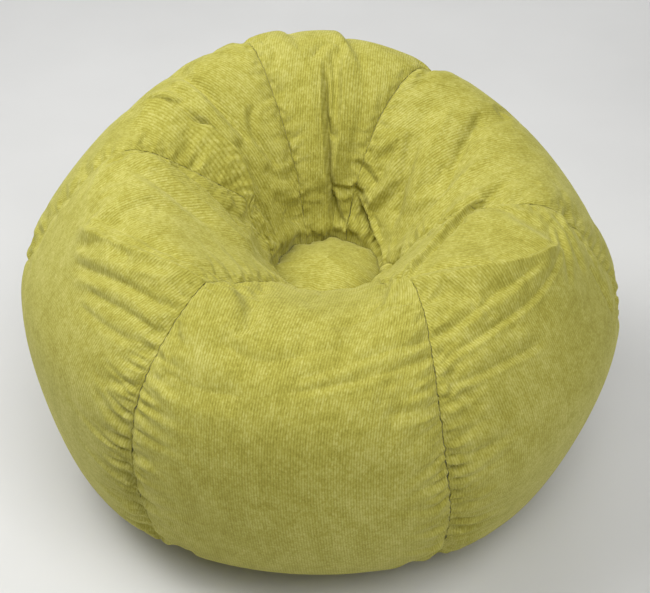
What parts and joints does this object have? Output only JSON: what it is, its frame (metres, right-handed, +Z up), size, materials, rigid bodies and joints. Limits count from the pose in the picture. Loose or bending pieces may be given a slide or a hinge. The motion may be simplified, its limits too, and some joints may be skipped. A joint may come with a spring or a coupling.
{
  "type": "bean bag chair",
  "caption": "Round corduroy bean bag chair with gored sides, a hollowed seat, a zipped base, an inner liner bag and a bead fill.",
  "frame": {"origin": "on the floor, under the middle of the bag's outline", "axes": "+Z up, -Y towards the front, where the sitter's legs go, and +X to the right as seen from the front"},
  "size_m": [0.8915, 0.8746, 0.6143],
  "materials": {
    "corduroy": "matte",
    "sewing_thread": "matte",
    "cover_zip_tape": "matte",
    "liner_cloth": "matte",
    "liner_thread": "matte",
    "liner_zip_tape": "matte",
    "zip_nylon": "satin",
    "zip_metal": "satin",
    "beads": "matte"
  },
  "bodies": {
    "bag": {"cover_gore_front": "corduroy", "cover_gore_right_front": "corduroy", "cover_gore_right_rear": "corduroy", "cover_gore_rear": "corduroy", "cover_gore_left_rear": "corduroy", "cover_gore_left_front": "corduroy", "cover_seat_cap": "corduroy", "cover_base_front": "corduroy", "cover_base_rear": "corduroy", "seam_thread_1": "sewing_thread", "seam_thread_2": "sewing_thread", "seam_thread_3": "sewing_thread", "seam_thread_4": "sewing_thread", "seam_thread_5": "sewing_thread", "seam_thread_6": "sewing_thread", "cap_seam_thread": "sewing_thread", "base_seam_thread": "sewing_thread", "cover_zip_closing_thread_right": "sewing_thread", "cover_zip_closing_thread_left": "sewing_thread", "cover_zip_tape_front": "cover_zip_tape", "cover_zip_tape_rear": "cover_zip_tape", "cover_zip_chain_front": "zip_nylon", "cover_zip_chain_rear": "zip_nylon", "cover_zip_top_stop_front": "zip_metal", "cover_zip_top_stop_rear": "zip_metal", "cover_zip_bottom_stop": "zip_metal", "liner_side": "liner_cloth", "liner_top": "liner_cloth", "liner_base_front": "liner_cloth", "liner_base_rear": "liner_cloth", "liner_zip_closing_thread_right": "liner_thread", "liner_zip_closing_thread_left": "liner_thread", "liner_zip_tape_front": "liner_zip_tape", "liner_zip_tape_rear": "liner_zip_tape", "liner_zip_chain_front": "zip_nylon", "liner_zip_chain_rear": "zip_nylon", "liner_zip_top_stop_front": "zip_metal", "liner_zip_top_stop_rear": "zip_metal", "liner_zip_bottom_stop": "zip_metal", "bead_fill": "beads"},
    "cover_zip_slider": {"cover_zip_slider": "zip_metal"},
    "liner_zip_slider": {"liner_zip_slider": "zip_metal"}
  },
  "joints": [
    {"name": "cover_zip", "type": "slide", "parent": "bag", "child": "cover_zip_slider", "axis": [-1, 0, 0], "range_m": [0, 0.4], "deforming": ["cover_zip_chain_front", "cover_zip_chain_rear"]},
    {"name": "liner_zip", "type": "slide", "parent": "bag", "child": "liner_zip_slider", "axis": [-1, 0, 0], "range_m": [0, 0.28], "deforming": ["liner_zip_chain_front", "liner_zip_chain_rear"]}
  ]
}
